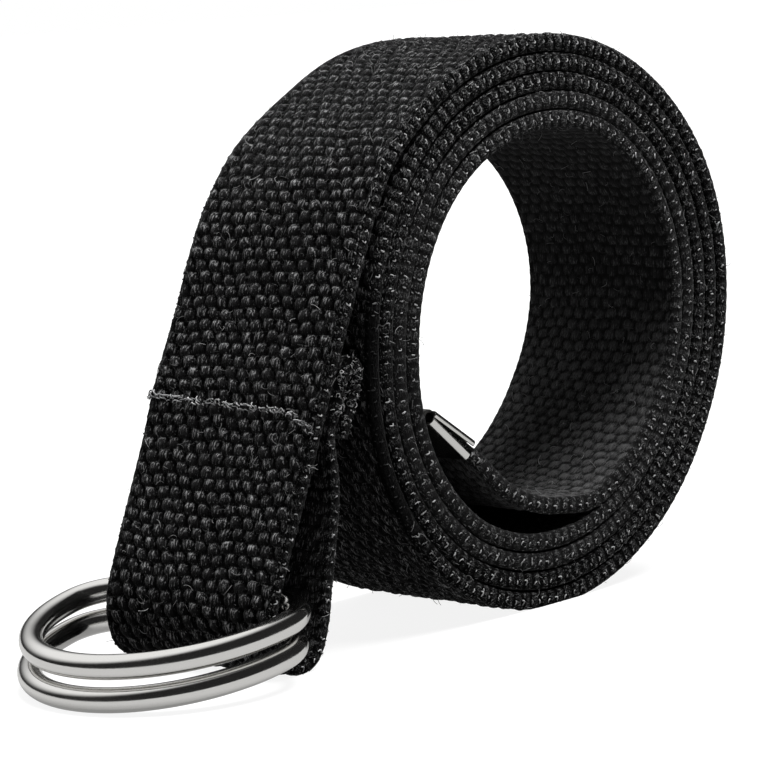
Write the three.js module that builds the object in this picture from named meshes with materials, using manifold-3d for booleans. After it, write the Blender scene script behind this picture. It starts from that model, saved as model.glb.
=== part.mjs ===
// A cotton webbing belt with two wire D-rings, wound into a coil that stands on its edge.
// X runs from the rings to the coil, Y from the front rim to the back rim, Z up. All sizes are in
// millimetres and degrees. A lean says how far the webbing's back rim stands further out than its
// front rim, and a twist how far the webbing is turned about Z.
import * as THREE from 'three';
import { mergeVertices } from 'three/addons/utils/BufferGeometryUtils.js';
import Module from 'manifold-3d';

const wasm = await Module();
wasm.setup();

// Driving dimensions
const webbing = { width: 38, thickness: 2.8, edgeBevel: 0.8, bevelShare: 0.6, middle: 19 };
const coil = { centreHeight: 50.0, floor: -0.4, firstAngle: -75, lastAngle: 1560, rowStep: 15 };
const ring = { wire: 4.2, halfWidth: 24.6, depth: 32.8, corner: 8.3, droop: 8 };
const ringSteps = { wireSides: 12, barShare: 0.7, cornerStep: 15, bowStep: 5 };
const tipSize = { width: 38.2, length: 11.1, sheet: 0.6, lip: 1.2, noseSides: 16, noseOverlap: 0.02 };
const tipEnds = { closedHeight: 2.8, mouthHeight: 4.1, closedX: -30.05, closedZ: 37.8, slope: -40 };
const foldedEnd = { thickness: 2.5, gap: 0.4, topX: -54.6, topZ: 50.1, slope: 66.3, foldStep: 30 };
const foldedLeg = [11, 8, 4, 1];
const endTwist = 9;
const sectionsPerRow = 2;
const mergeDistance = 1e-4;

// The coil's form: the middle of the webbing's first turn, brought back to its start, and the
// distance from one turn to the next, at every 30 degrees from the right, over the top
const coilForm = [
  { angle: 0, radius: 34.4, pitch: 3.2, lean: 0.2 },
  { angle: 30, radius: 36.3, pitch: 3.35, lean: 0.4 },
  { angle: 60, radius: 37.4, pitch: 3.25, lean: 0.4 },
  { angle: 90, radius: 35.5, pitch: 3.45, lean: 0.5 },
  { angle: 120, radius: 33.3, pitch: 3.55, lean: 1.0 },
  { angle: 150, radius: 31.7, pitch: 3.3, lean: 1.1 },
  { angle: 180, radius: 31.9, pitch: 3.12, lean: 0.7 },
  { angle: 210, radius: 34.6, pitch: 3.3, lean: 0.6 },
  { angle: 240, radius: 36.9, pitch: 3.42, lean: 0.7 },
  { angle: 270, radius: 36.1, pitch: 3.53, lean: 0.2 },
  { angle: 300, radius: 34.6, pitch: 3.3, lean: -1.2 },
  { angle: 330, radius: 33.65, pitch: 3.12, lean: -1.1 },
];

// The inner end, squeezed inside the tip, to where it meets the coil
const innerEnd = [
  { x: -28.8, z: 36.6, thickness: 1.0, width: 36.3 },
  { x: -25.2, z: 33.6, thickness: 1.5, width: 36.3 },
  { x: -21.5, z: 30.5, thickness: 2.0, width: 36.3 },
  { x: -18.9, z: 27.6, thickness: 2.8, width: 38 },
  { x: -15.9, z: 24.4, thickness: 2.8, width: 38 },
  { x: -12.5, z: 21.5, thickness: 2.8, width: 38 },
  { x: -8.7, z: 19.4, thickness: 2.8, width: 38 },
  { x: -4.6, z: 17.9, thickness: 2.8, width: 38 },
  { x: -0.4, z: 17.1, thickness: 2.8, width: 38 },
].map((row) => ({ ...row, twist: 0, lean: 0 }));

// The outer end, from the coil down its left side and round under the rings
const outerEnd = [
  { x: -36.5, z: 83.0, thickness: 2.8, twist: 3.5, lean: 1.3 },
  { x: -42.6, z: 74.8, thickness: 2.8, twist: 6.5, lean: 1.1 },
  { x: -46.5, z: 67.6, thickness: 2.8, twist: 8.5, lean: 0.6 },
  { x: -50.6, z: 58.7, thickness: 2.8, twist: 9, lean: 0.2 },
  { x: -54.6, z: 50.0, thickness: 2.8, twist: 9, lean: 0.4 },
  { x: -57.3, z: 44.0, thickness: 2.8, twist: 9, lean: 0.6 },
  { x: -60.2, z: 37.3, thickness: 2.8, twist: 9, lean: 0.1 },
  { x: -63.8, z: 29.2, thickness: 2.8, twist: 9, lean: 0 },
  { x: -68.5, z: 18.7, thickness: 2.3, twist: 9, lean: 0 },
  { x: -71.3, z: 11.6, thickness: 2.0, twist: 9, lean: 0 },
  { x: -71.65, z: 7.0, thickness: 2.0, twist: 9, lean: 0 },
  { x: -70.4, z: 2.85, thickness: 2.1, twist: 9, lean: 0 },
  { x: -66.8, z: 0.75, thickness: 2.3, twist: 9, lean: 0 },
  { x: -63.1, z: 2.2, thickness: 2.4, twist: 9, lean: 0 },
  { x: -60.8, z: 7.0, thickness: 2.5, twist: 9, lean: 0 },
  { x: -59.5, z: 13.0, thickness: 2.7, twist: 9, lean: 0 },
  { x: -57.9, z: 20.0, thickness: 2.6, twist: 9, lean: 0 },
  { x: -56.1, z: 29.0, thickness: 2.4, twist: 9, lean: 0 },
].map((row) => ({ ...row, width: webbing.width }));

// The rings' bars, each lying inside the fold
const bars = [
  { name: 'd_ring_upper', x: -67.0, y: 19.6, z: 11.7 },
  { name: 'd_ring_lower', x: -67.6, y: 20.0, z: 6.35 },
];

const radians = THREE.MathUtils.degToRad;

// A smooth periodic value between the rows of the coil's form
function coilValue(column, angle) {
  const count = coilForm.length;
  const place = (((angle % 360) + 360) % 360) / (360 / count);
  const first = Math.floor(place);
  const t = place - first;
  const [a, b, c, d] = [-1, 0, 1, 2].map((step) => coilForm[(first + step + count) % count][column]);
  const cubic = (2 * a - 5 * b + 4 * c - d) * t * t + (3 * b - a - 3 * c + d) * t * t * t;
  return b + ((c - a) * t + cubic) / 2;
}

function coilRow(angle) {
  const radius = coilValue('radius', angle) + (coilValue('pitch', angle) * angle) / 360;
  return {
    x: radius * Math.cos(radians(angle)),
    z: coil.centreHeight + radius * Math.sin(radians(angle)),
    width: webbing.width,
    thickness: webbing.thickness,
    twist: 0,
    lean: coilValue('lean', angle),
  };
}

// The end sewn to the back of the strap: up beside it, over a tight fold and down again,
// with a row at each drop below the fold that foldedLeg gives
function foldedEndRows() {
  const slope = radians(foldedEnd.slope);
  const up = new THREE.Vector2(Math.cos(slope), Math.sin(slope));
  const out = new THREE.Vector2(up.y, -up.x);
  const beside = webbing.thickness / 2 + foldedEnd.gap + foldedEnd.thickness / 2;
  const radius = (foldedEnd.thickness + foldedEnd.gap) / 2;
  const top = new THREE.Vector2(foldedEnd.topX, foldedEnd.topZ).addScaledVector(out, beside + radius);
  const row = (along, across) => {
    const place = top.clone().addScaledVector(up, along).addScaledVector(out, across);
    const { thickness } = foldedEnd;
    return { x: place.x, z: place.y, width: webbing.width, thickness, twist: endTwist, lean: 0 };
  };
  const rows = foldedLeg.map((drop) => row(-drop, -radius));
  for (let turn = 0; turn <= 180; turn += foldedEnd.foldStep) {
    rows.push(row(radius * Math.sin(radians(turn)), -radius * Math.cos(radians(turn))));
  }
  foldedLeg.toReversed().forEach((drop) => rows.push(row(-drop, radius)));
  return rows;
}

// Every row of the strap's middle line, from the inner end to the outer end
function strapRows() {
  const turns = [];
  for (let angle = coil.firstAngle; angle <= coil.lastAngle; angle += coil.rowStep) {
    turns.push(coilRow(angle));
  }
  return [...innerEnd, ...turns, ...outerEnd, ...foldedEndRows()];
}

// The eight corners of the webbing's section, as shares across its width and its thickness
function sectionCorners(width, thickness) {
  const side = width / 2;
  const face = thickness / 2;
  const bevel = Math.min(webbing.edgeBevel, face * webbing.bevelShare);
  return [
    [-side, face - bevel], [-side + bevel, face], [side - bevel, face], [side, face - bevel],
    [side, -face + bevel], [side - bevel, -face], [-side + bevel, -face], [-side, -face + bevel],
  ];
}

// Sections joined to a closed skin; an open run of them gets a cap at each end
function skin(sections, closed) {
  const size = sections[0].length;
  const index = [];
  const last = closed ? sections.length : sections.length - 1;
  for (let i = 0; i < last; i += 1) {
    const here = i * size;
    const next = ((i + 1) % sections.length) * size;
    for (let k = 0; k < size; k += 1) {
      const m = (k + 1) % size;
      index.push(here + k, here + m, next + m, here + k, next + m, next + k);
    }
  }
  if (!closed) {
    const end = (sections.length - 1) * size;
    for (let k = 1; k < size - 1; k += 1) {
      index.push(0, k + 1, k, end, end + k, end + k + 1);
    }
  }
  const geometry = new THREE.BufferGeometry();
  geometry.setAttribute('position', new THREE.Float32BufferAttribute(sections.flat(2), 3));
  geometry.setIndex(index);
  return geometry;
}

function strapGeometry() {
  const rows = strapRows();
  const line = new THREE.CatmullRomCurve3(rows.map((row) => new THREE.Vector3(row.x, 0, row.z)));
  line.curveType = 'centripetal';
  const steps = (rows.length - 1) * sectionsPerRow;
  const sections = [];
  for (let step = 0; step <= steps; step += 1) {
    const place = line.getPoint(step / steps);
    const along = line.getTangent(step / steps);
    const row = rows[Math.floor(step / sectionsPerRow)];
    const next = rows[Math.min(Math.floor(step / sectionsPerRow) + 1, rows.length - 1)];
    const share = (step % sectionsPerRow) / sectionsPerRow;
    const between = (column) => THREE.MathUtils.lerp(row[column], next[column], share);
    const twist = radians(between('twist'));
    const across = new THREE.Vector3(-Math.sin(twist), Math.cos(twist), 0);
    const outward = new THREE.Vector3().crossVectors(across, along).normalize();
    sections.push(sectionCorners(between('width'), between('thickness')).map(([wide, deep]) => {
      const further = between('lean') * (wide / webbing.width + 0.5);
      const corner = place.clone().addScaledVector(across, wide).addScaledVector(outward, deep + further);
      return [corner.x, corner.y + webbing.middle, Math.max(corner.z, coil.floor)];
    }));
  }
  return skin(sections, false);
}

// The D in its own plane: the bar, a corner, the bow and the other corner, as (along, out)
function ringOutline() {
  const { halfWidth, depth, corner } = ring;
  const { barShare, cornerStep, bowStep } = ringSteps;
  const straight = halfWidth - corner;
  const outline = [-barShare, 0, barShare].map((share) => [straight * share, 0]);
  for (let turn = 0; turn < 90; turn += cornerStep) {
    const t = radians(turn);
    outline.push([straight + corner * Math.sin(t), corner * (1 - Math.cos(t))]);
  }
  for (let turn = 0; turn <= 180; turn += bowStep) {
    const t = radians(turn);
    outline.push([halfWidth * Math.cos(t), corner + (depth - corner) * Math.sin(t)]);
  }
  for (let turn = 90 - cornerStep; turn >= 0; turn -= cornerStep) {
    const t = radians(turn);
    outline.push([-straight - corner * Math.sin(t), corner * (1 - Math.cos(t))]);
  }
  return outline;
}

function ringGeometry() {
  const outline = ringOutline().map(([along, out]) => new THREE.Vector2(along, out));
  const sections = outline.map((point, i) => {
    const before = outline[(i + outline.length - 1) % outline.length];
    const after = outline[(i + 1) % outline.length];
    const run = after.clone().sub(before).normalize();
    return Array.from({ length: ringSteps.wireSides }, (_, k) => {
      const t = (-k * 2 * Math.PI) / ringSteps.wireSides;
      const side = (ring.wire / 2) * Math.cos(t);
      const up = (ring.wire / 2) * Math.sin(t);
      return [-(point.y - run.x * side), point.x + run.y * side, up];
    });
  });
  return skin(sections, true);
}

function solid(geometry) {
  const bare = geometry.clone();
  bare.deleteAttribute('normal');
  bare.deleteAttribute('uv');
  const merged = mergeVertices(bare, mergeDistance);
  const vertProperties = new Float32Array(merged.attributes.position.array);
  const triVerts = new Uint32Array(merged.index.array);
  return new wasm.Manifold(new wasm.Mesh({ numProp: 3, vertProperties, triVerts }));
}

function geometryOf(manifold) {
  const mesh = manifold.getMesh();
  const geometry = new THREE.BufferGeometry();
  geometry.setAttribute('position', new THREE.BufferAttribute(new Float32Array(mesh.vertProperties), 3));
  geometry.setIndex(Array.from(mesh.triVerts));
  return geometry;
}

// The metal tip: a sheet folded round the inner end, with a lip turned in along each edge
function tipGeometry() {
  const { length, sheet, lip, noseSides, noseOverlap } = tipSize;
  const halfWide = tipSize.width / 2;
  const spread = Math.atan((tipEnds.mouthHeight - tipEnds.closedHeight) / 2 / length);
  const channel = new THREE.Shape();
  const corners = [
    [-halfWide, 0], [halfWide, 0], [halfWide, -lip], [halfWide - sheet, -lip],
    [halfWide - sheet, -sheet], [-halfWide + sheet, -sheet], [-halfWide + sheet, -lip], [-halfWide, -lip],
  ];
  channel.setFromPoints(corners.map(([wide, deep]) => new THREE.Vector2(wide, deep)));
  const halves = [1, -1].map((side) => {
    const geometry = new THREE.ExtrudeGeometry(channel, { depth: length, bevelEnabled: false });
    geometry.rotateX(-spread);
    geometry.translate(0, tipEnds.closedHeight / 2, 0);
    return side > 0 ? geometry : geometry.rotateZ(Math.PI);
  });
  const noseRadius = tipEnds.closedHeight / 2;
  const nose = new THREE.CylinderGeometry(noseRadius, noseRadius, halfWide * 2, noseSides);
  nose.rotateZ(Math.PI / 2);
  nose.translate(0, 0, noseOverlap);
  return geometryOf(solid(halves[0]).add(solid(halves[1])).add(solid(nose)));
}

const fabric = new THREE.MeshStandardMaterial({ color: 0x17171a, roughness: 0.95, metalness: 0 });
const nickel = { color: 0xcfcbc4, roughness: 0.12, metalness: 1 };
const tipMetal = { color: 0xc9c7c2, roughness: 0.2, metalness: 1 };

const strap = new THREE.Mesh(strapGeometry(), fabric);
strap.name = 'strap';

const rings = bars.map((bar) => {
  const mesh = new THREE.Mesh(ringGeometry(), new THREE.MeshStandardMaterial(nickel));
  mesh.name = bar.name;
  mesh.rotation.set(0, -radians(ring.droop), radians(endTwist), 'ZYX');
  mesh.position.set(bar.x, bar.y, bar.z);
  return mesh;
});

const tip = new THREE.Mesh(tipGeometry(), new THREE.MeshStandardMaterial(tipMetal));
tip.name = 'tip';
const tipAlong = new THREE.Vector3(Math.cos(radians(tipEnds.slope)), 0, Math.sin(radians(tipEnds.slope)));
const tipAcross = new THREE.Vector3(0, 1, 0);
const tipUp = new THREE.Vector3().crossVectors(tipAlong, tipAcross);
tip.setRotationFromMatrix(new THREE.Matrix4().makeBasis(tipAcross, tipUp, tipAlong));
tip.position.set(tipEnds.closedX, webbing.middle, tipEnds.closedZ);

// The origin is at the middle of the whole belt's outline, on the surface that it stands on
const group = new THREE.Group();
group.add(strap, ...rings, tip);
const outline = new THREE.Box3().setFromObject(group, true);
const middle = outline.getCenter(new THREE.Vector3());
group.position.set(-middle.x, -middle.y, -outline.min.z);

export default group;
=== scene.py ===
# A rolled webbing belt with two D-rings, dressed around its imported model.
# Sizes in the dictionaries are in millimetres and degrees unless a note says otherwise.
import math

import bmesh
import bpy
import numpy as np
from mathutils import Matrix, Vector


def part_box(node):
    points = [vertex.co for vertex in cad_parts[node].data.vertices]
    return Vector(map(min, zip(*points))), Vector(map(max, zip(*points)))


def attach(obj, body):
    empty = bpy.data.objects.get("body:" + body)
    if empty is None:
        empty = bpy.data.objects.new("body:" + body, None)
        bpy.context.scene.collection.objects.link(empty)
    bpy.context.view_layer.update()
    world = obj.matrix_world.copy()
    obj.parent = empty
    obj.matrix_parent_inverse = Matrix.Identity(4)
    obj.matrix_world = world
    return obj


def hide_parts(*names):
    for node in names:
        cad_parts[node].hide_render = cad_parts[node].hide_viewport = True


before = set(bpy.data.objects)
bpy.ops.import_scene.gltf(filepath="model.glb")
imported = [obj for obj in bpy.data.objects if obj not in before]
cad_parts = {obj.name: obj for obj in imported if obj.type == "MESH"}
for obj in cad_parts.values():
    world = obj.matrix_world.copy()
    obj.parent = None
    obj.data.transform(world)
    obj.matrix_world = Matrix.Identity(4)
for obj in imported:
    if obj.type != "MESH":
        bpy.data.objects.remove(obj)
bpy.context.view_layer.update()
mm = 0.001
print("frame loaded:", sorted(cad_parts))


def newObject(name, data):
    thing = bpy.data.objects.new(name, data)
    bpy.context.collection.objects.link(thing)
    return thing


def arc(start, stop, parts):
    # angles in radians, evenly from start to stop in degrees
    return np.radians(np.linspace(start, stop, parts + 1))


# The strap's path: the same rows as in the construction

webbing = {"width": 38.0, "thickness": 2.8, "middle": 19.0, "edgeBevel": 0.8}
coil = {"centreHeight": 50.0, "floor": -0.4, "firstAngle": -75, "lastAngle": 1560, "rowStep": 15}
foldedEnd = {"thickness": 2.5, "gap": 0.4, "topX": -54.6, "topZ": 50.1, "slope": 66.3, "foldParts": 6}
foldedLeg = [11, 8, 4, 1]
endTwist = 9.0
sectionsPerRow = 2

# radius of the first turn, distance to the next one, and how far the back rim stands further out,
# every 30 degrees from the right
coilForm = {
    "radius": [34.4, 36.3, 37.4, 35.5, 33.3, 31.7, 31.9, 34.6, 36.9, 36.1, 34.6, 33.65],
    "pitch": [3.2, 3.35, 3.25, 3.45, 3.55, 3.3, 3.12, 3.3, 3.42, 3.53, 3.3, 3.12],
    "lean": [0.2, 0.4, 0.4, 0.5, 1.0, 1.1, 0.7, 0.6, 0.7, 0.2, -1.2, -1.1],
}
# x, z, thickness, width
innerEnd = [
    (-28.8, 36.6, 1.0, 36.3), (-25.2, 33.6, 1.5, 36.3), (-21.5, 30.5, 2.0, 36.3),
    (-18.9, 27.6, 2.8, 38.0), (-15.9, 24.4, 2.8, 38.0), (-12.5, 21.5, 2.8, 38.0),
    (-8.7, 19.4, 2.8, 38.0), (-4.6, 17.9, 2.8, 38.0), (-0.4, 17.1, 2.8, 38.0),
]
# x, z, thickness, twist, lean
outerEnd = [
    (-36.5, 83.0, 2.8, 3.5, 1.3), (-42.6, 74.8, 2.8, 6.5, 1.1), (-46.5, 67.6, 2.8, 8.5, 0.6),
    (-50.6, 58.7, 2.8, 9, 0.2), (-54.6, 50.0, 2.8, 9, 0.4), (-57.3, 44.0, 2.8, 9, 0.6),
    (-60.2, 37.3, 2.8, 9, 0.1), (-63.8, 29.2, 2.8, 9, 0), (-68.5, 18.7, 2.3, 9, 0),
    (-71.3, 11.6, 2.0, 9, 0), (-71.65, 7.0, 2.0, 9, 0), (-70.4, 2.85, 2.1, 9, 0),
    (-66.8, 0.75, 2.3, 9, 0), (-63.1, 2.2, 2.4, 9, 0), (-60.8, 7.0, 2.5, 9, 0),
    (-59.5, 13.0, 2.7, 9, 0), (-57.9, 20.0, 2.6, 9, 0), (-56.1, 29.0, 2.4, 9, 0),
]


def coilValue(column, angle):
    # smooth and periodic between the rows of the form
    values = coilForm[column]
    count = len(values)
    place = (angle % 360) / (360 / count)
    first = int(math.floor(place))
    t = place - first
    a, b, c, d = [values[(first + step) % count] for step in (-1, 0, 1, 2)]
    cubic = (2 * a - 5 * b + 4 * c - d) * t * t + (3 * b - a - 3 * c + d) * t ** 3
    return b + ((c - a) * t + cubic) / 2


def coilRow(angle):
    radius = coilValue("radius", angle) + coilValue("pitch", angle) * angle / 360
    turn = math.radians(angle)
    x = radius * math.cos(turn)
    z = coil["centreHeight"] + radius * math.sin(turn)
    return (x, z, webbing["thickness"], webbing["width"], 0.0, coilValue("lean", angle))


def foldedRows():
    slope = math.radians(foldedEnd["slope"])
    up = np.array([math.cos(slope), math.sin(slope)])
    out = np.array([up[1], -up[0]])
    beside = webbing["thickness"] / 2 + foldedEnd["gap"] + foldedEnd["thickness"] / 2
    radius = (foldedEnd["thickness"] + foldedEnd["gap"]) / 2
    top = np.array([foldedEnd["topX"], foldedEnd["topZ"]]) + out * (beside + radius)

    def row(along, across):
        x, z = top + up * along + out * across
        return (x, z, foldedEnd["thickness"], webbing["width"], endTwist, 0.0)

    rows = [row(-drop, -radius) for drop in foldedLeg]
    rows += [row(radius * math.sin(t), -radius * math.cos(t)) for t in arc(0, 180, foldedEnd["foldParts"])]
    return rows + [row(-drop, radius) for drop in reversed(foldedLeg)]


def smoothLine(points, steps):
    # centripetal Catmull-Rom through the points, with the same number of steps in each gap
    before = 2 * points[0] - points[1]
    after = 2 * points[-1] - points[-2]
    p = np.vstack([before, points, after])
    gap = np.sqrt(np.linalg.norm(np.diff(p, axis=0), axis=1))[:, None]
    p0, p1, p2, p3 = p[:-3], p[1:-2], p[2:-1], p[3:]
    g0, g1, g2 = gap[:-2], gap[1:-1], gap[2:]
    start = ((p1 - p0) / g0 - (p2 - p0) / (g0 + g1) + (p2 - p1) / g1) * g1
    end = ((p2 - p1) / g1 - (p3 - p1) / (g1 + g2) + (p3 - p2) / g2) * g1
    t = (np.arange(steps) / steps)[None, :, None]
    a, b, s, e = (v[:, None, :] for v in (p1, p2, start, end))
    line = a + s * t + (3 * (b - a) - 2 * s - e) * t ** 2 + (2 * (a - b) + s + e) * t ** 3
    return np.vstack([line.reshape(-1, points.shape[1]), points[-1:]])


class StrapPath:
    # the middle line of the webbing, read by its length from the inner end
    steps = 24
    reach = 0.25  # how far ahead and behind a direction is taken

    def __init__(self):
        angles = range(coil["firstAngle"], coil["lastAngle"] + 1, coil["rowStep"])
        rows = [(*row, 0.0, 0.0) for row in innerEnd]
        rows += [coilRow(angle) for angle in angles]
        rows += [(x, z, thick, webbing["width"], twist, lean) for x, z, thick, twist, lean in outerEnd]
        rows = np.array(rows + foldedRows(), float)
        line = smoothLine(rows[:, :2], self.steps)
        share = np.arange(len(line)) / self.steps
        self.place = line
        self.values = [np.interp(share, np.arange(len(rows)), rows[:, c]) for c in (2, 3, 4, 5)]
        gaps = np.linalg.norm(np.diff(line, axis=0), axis=1)
        self.length = np.concatenate([[0], np.cumsum(gaps)])
        self.rowLength = self.length[::self.steps]
        self.firstCoilRow = len(innerEnd)
        self.firstOuterRow = len(innerEnd) + len(angles)
        self.firstFoldRow = self.firstOuterRow + len(outerEnd)

    def total(self):
        return self.length[-1]

    def atRow(self, row):
        return float(np.interp(row, np.arange(len(self.rowLength)), self.rowLength))

    def atAngle(self, angle):
        return self.atRow(self.firstCoilRow + (angle - coil["firstAngle"]) / coil["rowStep"])

    def sections(self, s):
        # the webbing's place, directions and sizes at each length s
        def line(at, column):
            return np.interp(at, self.length, self.place[:, column])

        thickness, width, twist, lean = (np.interp(s, self.length, v) for v in self.values)
        tx = line(s + self.reach, 0) - line(s - self.reach, 0)
        tz = line(s + self.reach, 1) - line(s - self.reach, 1)
        size = np.hypot(tx, tz)
        turn = np.radians(twist)
        across = np.stack([-np.sin(turn), np.cos(turn), np.zeros_like(turn)], 1)
        along = np.stack([tx / size, np.zeros_like(tx), tz / size], 1)
        outward = np.cross(across, along)
        outward /= np.linalg.norm(outward, axis=1)[:, None]
        place = np.stack([line(s, 0), np.full_like(s, webbing["middle"]), line(s, 1)], 1)
        return {"place": place, "across": across, "along": along, "outward": outward,
                "thickness": thickness, "narrow": width / webbing["width"], "lean": lean}

    def points(self, s, wide, deep):
        # points at the length s, wide across the webbing and deep out of its middle
        cut = self.sections(np.ravel(s))
        shape = np.shape(s)
        wide = np.broadcast_to(wide, shape) * cut["narrow"].reshape(shape)
        further = cut["lean"].reshape(shape) * (wide / webbing["width"] + 0.5)
        spot = cut["place"].reshape(*shape, 3) + cut["across"].reshape(*shape, 3) * wide[..., None]
        spot = spot + cut["outward"].reshape(*shape, 3) * (deep + further)[..., None]
        spot[..., 2] = np.maximum(spot[..., 2], coil["floor"])
        return spot


path = StrapPath()


def findShift():
    # from the path's own place to the frame's, by the strap's outline
    box = [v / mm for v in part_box("strap")]
    s = path.length[::path.steps // sectionsPerRow]
    cut = path.sections(s)
    corner = webbing["width"] / 2 - webbing["edgeBevel"]
    outer = path.points(s, corner, cut["thickness"] / 2)
    return np.array([box[1][0] - outer[:, 0].max(), box[0][1], box[0][2] - coil["floor"]])


shift = findShift()
print("strap", round(path.total()), "mm long, shifted by", np.round(shift, 3))


# The camera: its place and turn were found from the photo's own perspective

view = {"place": (-349.0, -344.2, 109.5), "azimuth": -41.83, "elevation": 7.91, "roll": -4.19,
        "lens": 128.9, "sensor": 36, "near": 0.01, "far": 100}


def makeCamera():
    data = bpy.data.cameras.new("camera")
    data.sensor_width = view["sensor"]
    data.lens = view["lens"]
    data.clip_start = view["near"]
    data.clip_end = view["far"]
    camera = newObject("camera", data)
    a, e, r = (math.radians(view[k]) for k in ("azimuth", "elevation", "roll"))
    turns = ((a, "Z"), (math.pi / 2 - e, "X"), (r, "Z"))
    azimuth, elevation, roll = (Matrix.Rotation(angle, 4, axis) for angle, axis in turns)
    place = Matrix.Translation((Vector(view["place"]) + Vector(shift)) * mm)
    camera.matrix_world = place @ azimuth @ elevation @ roll
    bpy.context.scene.camera = camera


makeCamera()
print("camera set")


# Node trees: a socket that can be used in Python expressions, and one method that adds a node

class Value:
    def __init__(self, socket):
        self.socket = socket

    def worked(self, operation, *terms):
        node = self.socket.id_data.nodes.new("ShaderNodeMath")
        node.operation = operation
        for socket, term in zip(node.inputs, terms):
            feed(socket, term)
        return Value(node.outputs[0])

    def maths(self, operation, *others):
        return self.worked(operation, self, *others)

    def __add__(self, other):
        return self.maths("ADD", other)

    def __sub__(self, other):
        return self.maths("SUBTRACT", other)

    def __rsub__(self, other):
        return self.worked("SUBTRACT", other, self)

    def __mul__(self, other):
        return self.maths("MULTIPLY", other)

    def __truediv__(self, other):
        return self.maths("DIVIDE", other)

    __radd__ = __add__
    __rmul__ = __mul__

    def clamp(self):
        return self.maths("MINIMUM", 1.0).maths("MAXIMUM", 0.0)


def feed(socket, value):
    if isinstance(value, Value):
        socket.id_data.links.new(value.socket, socket)
    else:
        socket.default_value = value


class Nodes:
    def __init__(self, tree):
        self.tree = tree

    def node(self, kind, inputs=None, output=0, **settings):
        made = self.tree.nodes.new(kind)
        for key, value in settings.items():
            setattr(made, key, value)
        for key, value in (inputs or {}).items():
            feed(made.inputs[key], value)
        return Value(made.outputs[output])

    def joined(self, x, y, z):
        return self.node("ShaderNodeCombineXYZ", {0: x, 1: y, 2: z})


class Finish(Nodes):
    # one material and its tree
    def __init__(self, name):
        self.material = bpy.data.materials.new(name)
        self.material.use_nodes = True
        super().__init__(self.material.node_tree)

    def mix(self, share, first, second):
        return self.node("ShaderNodeMix", {0: share, 6: first, 7: second}, 2, data_type="RGBA")

    def noise(self, spot, scale, detail, roughness=0.5):
        return self.node("ShaderNodeTexNoise", {
            "Vector": spot, "Scale": scale, "Detail": detail, "Roughness": roughness})

    def bump(self, strength, distance, height):
        return self.node("ShaderNodeBump", {
            "Strength": strength, "Distance": distance, "Height": height})

    def attribute(self, name, output=2):
        return self.node("ShaderNodeAttribute", output=output, attribute_name=name)

    def objectPlace(self):
        return self.node("ShaderNodeTexCoord", output=3)

    def part(self, vector, number):
        return self.node("ShaderNodeSeparateXYZ", {0: vector}, number)

    def set(self, **values):
        shader = self.tree.nodes["Principled BSDF"]
        for key, value in values.items():
            feed(shader.inputs[key.replace("_", " ")], value)


# The webbing: each yarn's float is a rounded bump, and between the bumps lie gaps painted dark for shade.
# Its form is in the mesh, and its plies and fibres in the finish, both on the same places.

weave = {
    "rowPitch": 2.15, "bumpPitch": 2.92, "halfLong": 1.32, "halfWide": 1.36, "slant": 0.3,
    "innerLong": 1.16, "innerWide": 1.46, "innerSlant": 0.05, "roundness": 0.72, "squareness": 2.4,
    "openCrest": 0.46, "innerCrest": 0.16, "coveredCrest": 0.1, "hemCrest": 0.3, "trough": -0.42,
    "innerTrough": -0.16, "lowest": 0.68, "jitter": 0.26, "wander": 0.2,
    "plyPitch": 0.55, "plySlant": 0.12, "plyPhase": 6.0,
}
rimForm = {
    "radius": 1.15, "reach": 0.06, "swell": 0.14, "legProud": 0.14, "coilProud": 0.24, "points": 7,
    "roundness": 0.5, "fullness": 0.55, "skew": 0.9, "offset": 0.8, "lowRelief": 0.02, "relief": 0.48,
    "shade": 0.85, "besideRim": (0, 0.45, 0.9, 1.4, 2.0, 2.8),
}
# gap is painted shade between the bumps; streak is light fibre strokes, partly wear and partly painted
# highlight
clothLook = {
    "gap": (0.0004, 0.0004, 0.0004, 1), "yarn": (0.0115, 0.0115, 0.0117, 1),
    "streak": (0.18, 0.18, 0.182, 1), "streakFrom": 0.77, "streakGain": 9.0,
    "speck": (0.12, 0.12, 0.121, 1), "speckScale": 3.6, "speckFrom": 0.6, "speckGain": 12.0,
    "fibreRoughness": 0.6, "roughness": 0.85, "specular": 0.008, "sheen": 0.035,
    "sheenRoughness": 0.45, "bump": 1.0, "bumpDistance": 0.0003,
}
# a copy of the cloth for the inner turns, with painted light: paler painted shade in the gaps, lighter
# yarn and dimmer strokes; its bump is lower
innerLitLook = dict(clothLook, gap=(0.006, 0.006, 0.006, 1), yarn=(0.019, 0.019, 0.0192, 1),
                 streak=(0.065, 0.065, 0.066, 1), bump=0.7)
# painted light: the inner turns greyer towards the bottom of the coil
paintedLowLight = {"colour": (0.072, 0.072, 0.0725, 1), "below": 0.056, "depth": 0.02}  # heights in metres
# waves a millimetre along and across the yarn, detail and start of each pattern of fibres
clothPatterns = {
    "strands": (0.9, 3.3, 2.0, 40.0),
    "hair": (2.4, 6.5, 2.0, 90.0),
    "patch": (0.11, 0.13, 1.0, 200.0),
}
# what each mask adds up: a base value, and how much of each pattern
clothMasks = {
    "shape": {"base": -0.65, "relief": 1.2, "strands": 0.6, "hair": 0.4},
    "body": {"base": 0.3, "own": 0.15, "plies": 0.25, "hair": 0.6},
    "patches": {"base": 0.4, "patch": 1.2},
    "lit": {"strands": 1.0, "hair": 0.35, "plies": 0.05, "own": 0.03},
    # painted light: strokes more on a bump's upper side
    "upperSide": {"acrossBump": 0.03, "alongBump": -0.07},
    "onTop": {"shape": 1.3},
    "streakShare": {"base": 0.6, "own": 0.4},
    "onRows": {"base": -0.1, "relief": 2.4},
    # painted light: where the lighter colour near the bottom of the coil shows
    "paintedLight": {"base": -1.3, "shape": 0.7, "strands": 1.1, "hair": 1.5},
    "height": {"shape": 0.7, "strands": 0.6, "hair": 0.35, "raisedPlies": 0.2},
}


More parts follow.
